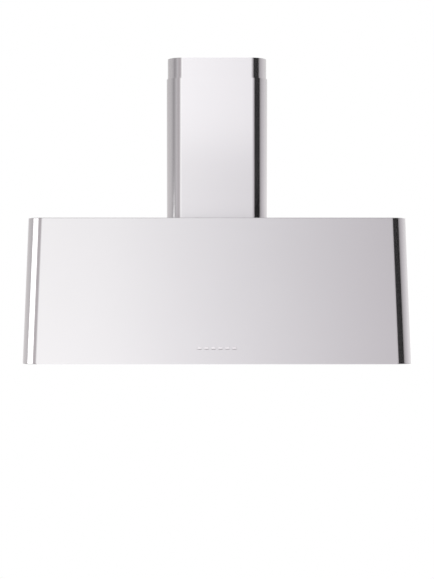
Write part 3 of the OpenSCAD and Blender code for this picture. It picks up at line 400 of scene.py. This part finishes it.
def button(node):
    """A pushbutton: stem, flange behind the sheet, and cap with a crowned face and a curled lower lip."""
    low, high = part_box(node)
    mesh = bmesh.new()
    bmesh.ops.create_cube(mesh, size=1.0)

    def shape(verts, section):
        half_w, half_h, out = section
        for vert in verts:
            vert.co = Vector((math.copysign(half_w, vert.co.x), math.copysign(half_h, vert.co.y), out)) * MM

    front = outermost(mesh)
    shape([v for v in mesh.verts if v not in front.verts[:]], BUTTON_SECTIONS[0])
    shape(front.verts, BUTTON_SECTIONS[1])
    for section in BUTTON_SECTIONS[2:]:
        front = bmesh.ops.extrude_discrete_faces(mesh, faces=[front])["faces"][0]
        shape(front.verts, section)
    half_w, half_h, level = (size * MM for size in BUTTON_SECTIONS[-1])
    base = BUTTON_SECTIONS[-2][2] * MM
    for number, radius, steps in ((0, BUTTON_LIP, 8), (-1, BUTTON_ROUND, 3)):
        front = outermost(mesh)
        edge = sorted(front.edges, key=lambda e: e.verts[0].co.y + e.verts[1].co.y)[number]
        bmesh.ops.bevel(mesh, geom=[edge], offset=radius, segments=steps, profile=0.5, affect="EDGES",
                        offset_type="OFFSET", material=-1)
    front = outermost(mesh)
    upright = [e for e in front.edges if abs(e.verts[0].co.x - e.verts[1].co.x) < half_w]
    bmesh.ops.subdivide_edges(mesh, edges=upright, cuts=BUTTON_STRIPS - 1)
    crown = [v for v in mesh.verts if abs(v.co.z - level) < TOUCH]
    bottom, top = (pick(v.co.y for v in crown) for pick in (min, max))
    for vert in crown:
        rise = (2 * vert.co.y - bottom - top) / (top - bottom)
        vert.co.z += BUTTON_CROWN * (1 - rise ** 2)

    def on_side(vert):
        return (abs(abs(vert.co.x) - half_w) < TOUCH and abs(vert.co.y) < half_h + TOUCH
                and vert.co.z > base - TOUCH)

    rim = [e for e in mesh.edges if all(on_side(v) for v in e.verts)
           and max(v.co.z for v in e.verts) > base + TOUCH
           and abs(e.verts[0].co.x - e.verts[1].co.x) < half_w]
    bmesh.ops.bevel(mesh, geom=rim, offset=BUTTON_ROUND, segments=3, profile=0.5, affect="EDGES",
                    offset_type="OFFSET", material=-1)
    bmesh.ops.transform(mesh, matrix=on_front((low.x + high.x) / 2), verts=mesh.verts)
    even_normals(piece(node + "_finished", mesh, [node], 40.0))


def coil_spring(number):
    """A button's return spring, wound round the stem between the switch bracket and the flange."""
    low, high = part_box("button_%d" % number)
    mesh = bmesh.new()
    section = Matrix.Translation((SPRING_R, 0, 0)) @ Matrix.Rotation(math.pi / 2, 4, "X")
    bmesh.ops.create_circle(mesh, segments=10, radius=SPRING_WIRE_R, matrix=section)
    steps = SPRING_TURNS * SPRING_TURN_STEPS
    rise = (SPRING_L - 2 * SPRING_WIRE_R) / steps
    bmesh.ops.spin(mesh, geom=mesh.verts[:] + mesh.edges[:], axis=(0, 0, 1), cent=(0, 0, 0),
                   dvec=(0, 0, rise), angle=math.tau * SPRING_TURNS, steps=steps)
    ends = [e for e in mesh.edges if len(e.link_faces) == 1]
    bmesh.ops.holes_fill(mesh, edges=ends)
    bmesh.ops.recalc_face_normals(mesh, faces=mesh.faces)
    bmesh.ops.translate(mesh, vec=(0, 0, SPRING_WIRE_R - SPRING_BACK), verts=mesh.verts)
    turned = on_front((low.x + high.x) / 2)
    bmesh.ops.transform(mesh, matrix=turned, verts=mesh.verts)
    made = piece("button_spring_%d" % number, mesh, ["button_springs"], 60.0)
    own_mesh(made)


def spun(points):
    """Spin an outline of (radius, height, rounding) in mm round the Z axis."""
    mesh = bmesh.new()
    corners = [mesh.verts.new((radius * MM, 0, height * MM)) for radius, height, _ in points]
    mesh.faces.new(corners)
    for corner, (_, _, rounding) in zip(corners, points):
        if rounding:
            bmesh.ops.bevel(mesh, geom=[corner], offset=rounding * MM, segments=6, profile=0.5,
                            affect="VERTICES", offset_type="OFFSET", material=-1)
    bmesh.ops.delete(mesh, geom=mesh.faces[:], context="FACES_ONLY")
    on_axis = [e for e in mesh.edges if all(v.co.x < 1e-9 for v in e.verts)]
    bmesh.ops.delete(mesh, geom=on_axis, context="EDGES")
    bmesh.ops.spin(mesh, geom=mesh.verts[:] + mesh.edges[:], axis=(0, 0, 1), cent=(0, 0, 0), angle=math.tau,
                   steps=SPIN_STEPS, use_merge=True)
    bmesh.ops.remove_doubles(mesh, verts=mesh.verts, dist=TOUCH)
    bmesh.ops.recalc_face_normals(mesh, faces=mesh.faces)
    return mesh


def lamp_pair(node, points, smooth_deg=30.0):
    """The same spun shape at both lamps."""
    low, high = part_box(node)
    mesh = spun(points)
    reach = max(abs(v.co.x) for v in mesh.verts)
    bmesh.ops.translate(mesh, vec=(low.x + reach, (low.y + high.y) / 2, LAMP_Z), verts=mesh.verts)
    twin = bmesh.ops.duplicate(mesh, geom=mesh.verts[:] + mesh.edges[:] + mesh.faces[:])["geom"]
    bmesh.ops.translate(mesh, vec=(high.x - low.x - 2 * reach, 0, 0), verts=verts_of(twin))
    even_normals(piece(node + "_finished", mesh, [node], smooth_deg))


def pan_screw(length):
    """A pan-head screw on the Z axis, its domed head above z = 0, with a cross recess."""
    mesh = bmesh.new()
    bmesh.ops.create_grid(mesh, x_segments=SCREW_CELLS, y_segments=SCREW_CELLS, size=1.0)
    recess = [f for f in mesh.faces
              if sorted(round(abs(c) * SCREW_CELLS / 2) for c in f.calc_center_median()[:2]) in SCREW_CROSS]
    for vert in mesh.verts:
        square = max(abs(vert.co.x), abs(vert.co.y))
        round_share = max(0.0, (square - 0.5) / 0.5)
        vert.co *= 1 + round_share * (square / max(vert.co.length, 1e-9) - 1)
        vert.co.z = SCREW_HEAD_T / SCREW_HEAD_R * (1 - 0.45 * vert.co.xy.length ** 2)
    bmesh.ops.scale(mesh, vec=(SCREW_HEAD_R,) * 3, verts=mesh.verts)
    geom = {*recess, *(e for f in recess for e in f.edges), *(v for f in recess for v in f.verts)}
    sunk = bmesh.ops.extrude_face_region(mesh, geom=list(geom))["geom"]
    for vert in verts_of(sunk):
        vert.co = Vector((vert.co.x * 0.75, vert.co.y * 0.75, SCREW_HEAD_T - SCREW_RECESS))
    ring = [e for e in mesh.edges if len(e.link_faces) == 1]
    for radius, height in ((SCREW_HEAD_R, 0.0), (SCREW_R, 0.0), (SCREW_R, -length)):
        grown = bmesh.ops.extrude_edge_only(mesh, edges=ring)["geom"]
        for vert in verts_of(grown):
            vert.co = Vector((*(vert.co.xy.normalized() * radius), height))
        ring = edges_of(grown)
    bmesh.ops.edgeloop_fill(mesh, edges=ring)
    bmesh.ops.recalc_face_normals(mesh, faces=mesh.faces)
    return mesh


def screws(node, places):
    """All the screws of a node, each from where its head rests, the way it points and its length."""
    whole = bmesh.new()
    for point, way, length in places:
        one = pan_screw(length)
        turn = Vector(way).to_track_quat("Z", "Y").to_matrix().to_4x4()
        bmesh.ops.transform(one, matrix=Matrix.Translation(point) @ turn, verts=one.verts)
        data = bpy.data.meshes.new("one_screw")
        one.to_mesh(data)
        one.free()
        whole.from_mesh(data)
        bpy.data.meshes.remove(data)
    rounded(piece(node + "_finished", whole, [node], 35.0), 0.25)


def side_point(point, inset, half_w, depth):
    """Move a point of a canopy's or chimney's outline inwards, round corners included."""
    middle_x = half_w - CORNER_R
    middle_y = CORNER_R - depth
    beside = math.copysign(max(abs(point.x) - middle_x, 0.0), point.x)
    out = Vector((beside, min(point.y - middle_y, 0.0), 0.0))
    return point - out.normalized() * inset


def bent_sheet(low, high):
    """Left side, front and right side in one bent sheet; low and high are (half width, depth, height)."""
    mesh = bmesh.new()
    bmesh.ops.create_cube(mesh, size=2.0)
    for vert in mesh.verts:
        half_w, depth, height = high if vert.co.z > 0 else low
        vert.co = Vector((half_w * vert.co.x, -depth if vert.co.y < 0 else 0.0, height))
    unwanted = [f for f in mesh.faces if abs(f.normal.z) > 0.9 or f.normal.y > 0.9]
    bmesh.ops.delete(mesh, geom=unwanted, context="FACES")
    corners = [e for e in mesh.edges if len(e.link_faces) == 2]
    bmesh.ops.bevel(mesh, geom=corners, offset=CORNER_R, segments=CORNER_STEPS, profile=0.5,
                    affect="EDGES", offset_type="OFFSET", material=-1)
    return mesh


def outline_edges(mesh, height):
    """The open edges of a bent sheet at one height."""
    return [e for e in mesh.edges
            if len(e.link_faces) == 1 and all(abs(v.co.z - height) < 1e-6 for v in e.verts)]


def thicken(mesh):
    """Give a bent sheet its thickness on the inside."""
    bmesh.ops.recalc_face_normals(mesh, faces=mesh.faces)
    front = min(mesh.faces, key=lambda f: f.calc_center_median().y)
    if front.normal.y > 0:
        bmesh.ops.reverse_faces(mesh, faces=mesh.faces)
    bmesh.ops.solidify(mesh, geom=mesh.faces, thickness=SHEET)


def cut_out(mesh, faces, planes, inside):
    """Score the chosen faces along the planes, then take out what inside() says is open."""
    for point, normal in planes:
        chosen = [f for f in mesh.faces if faces(f)]
        around = {*chosen, *(e for f in chosen for e in f.edges), *(v for f in chosen for v in f.verts)}
        bmesh.ops.bisect_plane(mesh, geom=list(around), plane_co=point, plane_no=normal, dist=TOUCH)
    holes = [f for f in mesh.faces if faces(f) and inside(f.calc_center_median())]
    bmesh.ops.delete(mesh, geom=holes, context="FACES_ONLY")


# Canopy: one sheet bent round both front corners, with its lower edge folded in as a rim
canopy_low, canopy_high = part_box("canopy_wrap")
hood_w = canopy_high.x - canopy_low.x
hood_d = canopy_high.y - canopy_low.y
hood_h = canopy_high.z
lean = hood_h * math.tan(HOOD_LEAN)
foot = (hood_w / 2, hood_d, 0.0)
head = (hood_w / 2 - lean, hood_d - lean, hood_h)


def canopy_shell():
    """The canopy's sheet with its top edge bent over, its rim folded in and the buttons' holes cut out."""
    share = TOP_FOLD_R / hood_h
    below = tuple(top + (bottom - top) * share for top, bottom in zip(head, foot))
    mesh = bent_sheet(foot, below)
    edges = outline_edges(mesh, below[2])
    for step in range(1, TOP_FOLD_STEPS + 1):
        turn = math.radians(TOP_FOLD_DEG) * step / TOP_FOLD_STEPS
        grown = bmesh.ops.extrude_edge_only(mesh, edges=edges)["geom"]
        last = turn - math.radians(TOP_FOLD_DEG) / TOP_FOLD_STEPS
        inward = TOP_FOLD_R * (math.cos(last) - math.cos(turn))
        for vert in verts_of(grown):
            vert.co = side_point(vert.co, inward, below[0], below[1])
            vert.co.z = below[2] + TOP_FOLD_R * math.sin(turn)
        level = below[2] + TOP_FOLD_R * math.sin(turn)
        edges = [e for e in edges_of(grown) if all(abs(v.co.z - level) < TOUCH for v in e.verts)]
    lower = outline_edges(mesh, 0.0)
    grown = bmesh.ops.extrude_edge_only(mesh, edges=lower)["geom"]
    for vert in verts_of(grown):
        vert.co = side_point(vert.co, RIM_W, foot[0], foot[1])
    fold = [e for e in lower if e.is_valid and len(e.link_faces) == 2]
    bmesh.ops.bevel(mesh, geom=fold, offset=FOLD_R, segments=5, profile=0.5, affect="EDGES",
                    offset_type="OFFSET", material=-1)
    up = Vector((0, math.sin(HOOD_LEAN), math.cos(HOOD_LEAN)))
    sides = []
    for i in range(1, 7):
        low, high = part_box("button_%d" % i)
        middle = (low.x + high.x) / 2
        sides.append((middle - BUTTON_HALF_W - BUTTON_GAP, middle + BUTTON_HALF_W + BUTTON_GAP))
    row = Vector((0, -hood_d + BUTTON_Z * math.tan(HOOD_LEAN), BUTTON_Z))
    reach = BUTTON_HALF_H + BUTTON_GAP
    planes = [(Vector((x, 0, 0)), Vector((1, 0, 0))) for pair in sides for x in pair]
    planes += [(row + up * s * reach, up) for s in (-1, 1)]

    def is_front(face):
        return face.normal.y < -0.99 and face.calc_center_median().z > FOLD_R and abs(face.normal.x) < 0.01

    def in_hole(point):
        return abs((point - row).dot(up)) < reach and any(a < point.x < b for a, b in sides)

    cut_out(mesh, is_front, planes, in_hole)
    thicken(mesh)
    even_normals(piece("canopy_wrap_sheet", mesh, ["canopy_wrap"], 50.0))


canopy_shell()


def chimney_shell(name, node, slots=()):
    """A chimney part: three walls, round front corners and two flanges folded in at the wall."""
    low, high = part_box(node)
    half_w = (high.x - low.x) / 2
    depth = -low.y
    rear = high.y
    mesh = bent_sheet((half_w, depth, low.z), (half_w, depth, high.z))
    if rear < 0:
        for vert in mesh.verts:
            if vert.co.y > -1e-6:
                vert.co.y = rear
    back = [e for e in mesh.edges if len(e.link_faces) == 1 and all(v.co.y > rear - 1e-6 for v in e.verts)]
    grown = bmesh.ops.extrude_edge_only(mesh, edges=back)["geom"]
    for vert in verts_of(grown):
        vert.co.x -= math.copysign(FLANGE_W, vert.co.x)
    if slots:
        planes = [(Vector((0, y, 0)), Vector((0, 1, 0))) for y in slots[0]]
        planes += [(Vector((0, 0, z)), Vector((0, 0, 1))) for pair in slots[1] for z in pair]
        cut_out(mesh, lambda f: abs(f.normal.x) > 0.999, planes,
                lambda p: slots[0][0] < p.y < slots[0][1] and any(a < p.z < b for a, b in slots[1]))
    thicken(mesh)
    even_normals(piece(name, mesh, [node], 50.0))


SLOT_COUNT = 6
SLOT_HALF_L = 40 * MM
SLOT_PITCH = 9 * MM
SLOT_H = 4 * MM
CHIMNEY_MID_Y = (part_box("chimney_lower")[0].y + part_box("chimney_lower")[1].y) / 2
upper_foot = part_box("chimney_upper")[0].z
slot_rows = [(upper_foot + k * SLOT_PITCH, upper_foot + k * SLOT_PITCH + SLOT_H)
             for k in range(1, SLOT_COUNT + 1)]
chimney_shell("chimney_lower_sheet", "chimney_lower")
chimney_shell("chimney_upper_sheet", "chimney_upper",
              ((CHIMNEY_MID_Y - SLOT_HALF_L, CHIMNEY_MID_Y + SLOT_HALF_L), slot_rows))

# The other pieces keep their CAD shape and get the edges that folding, casting or moulding gives
for node, width in {
    "top_panel": 0.4, "underside_panel": 0.4, "back_panel": 0.4, "wall_hooks": 0.8, "switch_bracket": 0.4,
    "chimney_foot_brackets": 0.5, "chimney_wall_bracket": 0.6, "motor_bracket": 0.4, "motor_shell": 1.2,
    "blower_scroll": 0.5, "blower_side_left": 0.5, "blower_side_right": 0.5, "inlet_rings": 0.6,
    "duct_collar": 0.7, "damper_flap_front": 0.4, "damper_flap_rear": 0.4, "control_box": 0.8,
    "control_box_lid": 0.8, "terminal_block": 0.5, "lamp_transformer": 1.5, "capacitor": 1.0,
    "cable_gland": 0.6, "switch_housing": 0.5, "chimney_guide_pads": 0.6, "levelling_screws": 0.3,
}.items():
    edged(node, width)
for i in range(1, 7):
    button("button_%d" % i)
    coil_spring(i)
for side in ("left", "centre", "right"):
    edged("filter_%s_frame" % side, 0.3)
    edged("filter_%s_baffles" % side, 0.25)
    edged("filter_%s_handle" % side, 0.55, steps=3)

# Lamps: radius, height above the underside panel and rounding of each corner, in mm
LAMP_FIN_T = 2
lamp_pair("lamp_bezels", [(24, -2.5, 0.4), (34, -2.5, 1.8), (34, 0, 0), (28.6, 0, 0), (28.6, 10, 0.3),
                          (27.2, 10, 0.3), (27.2, -1.3, 0), (24, -1.3, 0.2)])
lamp_pair("lamp_lenses", [(0, -1.3, 0), (27.1, -1.3, 0.3), (27.1, 1.2, 0.3), (0, 1.2, 0)])
fins = [corner for low in LAMP_FINS for corner in
        ((20.1, low, 0.5), (27.1, low, 0.5), (27.1, low + LAMP_FIN_T, 0.5), (20.1, low + LAMP_FIN_T, 0.5))]
lamp_pair("lamp_housings", [(0, 16.2, 0), (13, 16.2, 1), (25.1, 1.2, 0.3), (27.1, 1.2, 0.3),
                            (27.1, 11.2, 0.6), (20.1, 11.2, 0.4), *fins, (20.1, 36, 1), (0, 36, 0)])

# Screws: two through the lower chimney's sides, four round the duct collar, two in the wall bracket
SIDE_SCREW_Z = 462 * MM
SIDE_SCREW_L = 2.6 * MM
COLLAR_SCREW_CIRCLE = 85 * MM
COLLAR_SCREW_Z = 450.5 * MM
COLLAR_SCREW_L = 8 * MM
BRACKET_SCREW_Y = -46 * MM
BRACKET_SCREW_Z = 955 * MM
BRACKET_SCREW_L = 3.1 * MM
side_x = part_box("chimney_lower")[1].x
upper_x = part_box("chimney_upper")[1].x
assembly = [((side * side_x, CHIMNEY_MID_Y, SIDE_SCREW_Z), (side, 0, 0), SIDE_SCREW_L) for side in (-1, 1)]
for number in range(4):
    turn = math.radians(45 + 90 * number)
    point = (COLLAR_SCREW_CIRCLE * math.cos(turn),
             CHIMNEY_MID_Y + COLLAR_SCREW_CIRCLE * math.sin(turn), COLLAR_SCREW_Z)
    assembly.append((point, (0, 0, 1), COLLAR_SCREW_L))
screws("assembly_screws", assembly)
screws("bracket_screws", [((side * upper_x, BRACKET_SCREW_Y, BRACKET_SCREW_Z), (side, 0, 0), BRACKET_SCREW_L)
                          for side in (-1, 1)])


# Studio: a grey room with a dark patch, the flag, to the right of the camera, and two soft boxes.
# Bearings are in degrees as seen from the hood, 0 towards the camera and positive towards +X.
# Heights are the rise of a line of sight, -1 straight down and 1 straight up.
# STEEL_SHARE is how much of a glow the steel shows, TOP_SHARE what HEIGHTS leaves of it at about eye level
STEEL_SHARE = 0.604
ROOM = [(-180, "#f2f2f2"), (-140, "#c8c5c6"), (-90, "#bfbcbd"), (-76, "#aeabad"), (-64, "#969395"),
        (-48, "#b6b3b5"), (-37, "#c4c1c3"), (-34, "#b6b1b3"), (-18, "#b6b1b3"), (-15, "#dcdadc"),
        (-13, "#dcdadc"), (-10, "#fffefe"), (-4.5, "#f9f8f9"), (0, "#e4e2e5"), (8, "#c1bdc1"),
        (52, "#cac7c9"), (62, "#969294"), (78, "#bab6b9"), (110, "#d6d3d5"), (145, "#dddbdb"),
        (180, "#f2f2f2")]
TOP_SHARE = 0.855
HEIGHTS = [(-1.0, "#a0a0a0"), (-0.7, "#a8a8a8"), (-0.4, "#bababa"), (-0.15, "#f2f2f2"), (-0.02, "#f5f5f5"),
           (0.05, "#ececec"), (0.12, "#d8d8d8"), (0.24, "#cecece"), (0.31, "#ffffff"), (0.45, "#ffffff"),
           (0.62, "#b8b8b8"), (1.0, "#909090")]
# White leaves the room as it is. The flag is only grey higher up, so that level sheets don't mirror black
FLAG_ACROSS = [(-180, "#ffffff"), (16.2, "#ffffff"), (17.8, "#060606"), (59, "#060606"), (61, "#ffffff"),
               (180, "#ffffff")]
FLAG_UP = [(-1.0, "#ffffff"), (-0.24, "#ffffff"), (-0.17, "#060606"), (0.2, "#060606"), (0.27, "#646464"),
           (0.6, "#646464"), (0.68, "#ffffff"), (1.0, "#ffffff")]


def by_bearing(tree, share, stops):
    return ramp(tree, share, [((degrees + 180) / 360, code) for degrees, code in stops])


def by_height(tree, height, stops):
    return ramp(tree, height, [((rise + 1) / 2, code) for rise, code in stops])


def studio_light():
    """Light from all round, whose grey depends on its bearing as seen from the hood and on its height."""
    world = bpy.data.worlds.new("soft_studio")
    bpy.context.scene.world = world
    world.use_nodes = True
    tree = world.node_tree
    tree.nodes.clear()
    way = add(tree, "ShaderNodeTexCoord").outputs["Generated"]
    parts = add(tree, "ShaderNodeSeparateXYZ", links={"Vector": way})
    forward = add(tree, "ShaderNodeMath", {1: -1.0}, {0: parts.outputs["Y"]}, operation="MULTIPLY")
    bearing = add(tree, "ShaderNodeMath", links={0: parts.outputs["X"], 1: forward.outputs["Value"]},
                  operation="ARCTAN2")
    share = add(tree, "ShaderNodeMapRange", {"From Min": -math.pi, "From Max": math.pi},
                {"Value": bearing.outputs["Value"]}).outputs["Result"]
    height = add(tree, "ShaderNodeMapRange", {"From Min": -1.0, "From Max": 1.0},
                 {"Value": parts.outputs["Z"]}).outputs["Result"]
    walls = add(tree, "ShaderNodeVectorMath", links={
        0: by_bearing(tree, share, ROOM), 1: by_height(tree, height, HEIGHTS)}, operation="MULTIPLY")
    flag = add(tree, "ShaderNodeVectorMath", links={
        0: by_bearing(tree, share, FLAG_ACROSS), 1: by_height(tree, height, FLAG_UP)}, operation="MAXIMUM")
    both = add(tree, "ShaderNodeVectorMath", links={
        0: walls.outputs["Vector"], 1: flag.outputs["Vector"]}, operation="MULTIPLY")
    lit = add(tree, "ShaderNodeBackground", {"Strength": 1 / (STEEL_SHARE * TOP_SHARE)},
              {"Color": both.outputs["Vector"]})
    seen = add(tree, "ShaderNodeBackground", {"Color": linear("#ffffff"), "Strength": 1.0})
    eye = add(tree, "ShaderNodeLightPath").outputs["Is Camera Ray"]
    mixed = add(tree, "ShaderNodeMixShader",
                links={0: eye, 1: lit.outputs["Background"], 2: seen.outputs["Background"]})
    add(tree, "ShaderNodeOutputWorld", links={"Surface": mixed.outputs["Shader"]})


def soft_box(name, middle, aim, width, height, glow):
    """A rectangular light with an even glow, stated as the share of white that steel shows of it."""
    light = bpy.data.lights.new(name, "AREA")
    light.shape = "RECTANGLE"
    light.size = width
    light.size_y = height
    light.energy = glow / STEEL_SHARE * math.pi * width * height
    made = bpy.data.objects.new(name, light)
    made.location = middle
    made.rotation_euler = Vector(aim).to_track_quat("-Z", "Y").to_euler()
    made.visible_camera = False
    bpy.context.scene.collection.objects.link(made)


CAMERA_AWAY = 5.0
# An upright strip beside the left front corner, and a box in front of the chimney for its upper part
soft_box("strip_light", middle=(-0.762, -0.606, 0.13), aim=(0.83, 0.56, 0.0),
         width=0.188, height=0.76, glow=1.0)
soft_box("chimney_light", middle=(0.0, -1.085, 1.18), aim=(0.0, 1.0, 0.0),
         width=0.4, height=0.84, glow=0.18)


def floor():
    """Pale matt floor, lit evenly, far enough down for views from below."""
    def build(tree):
        grain = noise(tree, 900.0, 3.0)
        return {
            "Base Color": ramp(tree, grain, [(0.3, "#edecea"), (0.7, "#f1f0ee")]),
            "Roughness": spread(tree, grain, 0.75, 0.85)}

    values = {"IOR": 1.45, "Emission Color": linear("#fbfaf9"), "Emission Strength": 0.35}
    mesh = bmesh.new()
    bmesh.ops.create_circle(mesh, cap_ends=True, segments=96, radius=25.0)
    bmesh.ops.translate(mesh, vec=(0.0, 0.0, -6.0), verts=mesh.verts)
    data = bpy.data.meshes.new("floor")
    mesh.to_mesh(data)
    mesh.free()
    made = bpy.data.objects.new("floor", data)
    bpy.context.scene.collection.objects.link(made)
    data.materials.append(material("matt_floor_paint", values, build))
    # The steel shows the room's own lower part instead
    made.visible_glossy = False


studio_light()
floor()

# Camera: level, in front of the hood's middle, five metres from the wall
IMAGE = (434, 579)
FOCAL_PX = 1475.0
SENSOR = 36.0
lens = bpy.data.cameras.new("camera")
lens.sensor_width = SENSOR
lens.lens = FOCAL_PX / IMAGE[1] * SENSOR
camera = bpy.data.objects.new("camera", lens)
camera.location = (0.0, -CAMERA_AWAY, 0.228)
camera.rotation_euler = (math.radians(90), 0.0, 0.0)
bpy.context.scene.collection.objects.link(camera)
bpy.context.scene.camera = camera
bpy.context.scene.view_settings.view_transform = "Standard"
